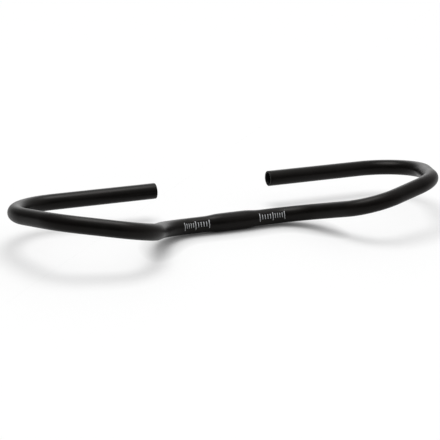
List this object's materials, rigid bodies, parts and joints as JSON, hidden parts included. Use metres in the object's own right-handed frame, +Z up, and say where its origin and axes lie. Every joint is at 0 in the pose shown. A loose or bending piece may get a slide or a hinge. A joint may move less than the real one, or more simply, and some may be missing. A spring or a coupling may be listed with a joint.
{
  "type": "trekking handlebar",
  "caption": "Bent aluminium trekking handlebar: a swaged stem clamp, and on each side a hand loop that ends in an open grip.",
  "frame": {"origin": "middle of the stem clamp, on the tube's axis", "axes": "+X along the clamp axis to the rider's left, +Y back towards the rider, +Z up; the clamp lies level and the loops stand above it"},
  "size_m": [0.624, 0.2006, 0.0786],
  "materials": {
    "black_anodised_aluminium": "satin"
  },
  "bodies": {
    "root": {"handlebar": "black_anodised_aluminium"}
  },
  "joints": []
}
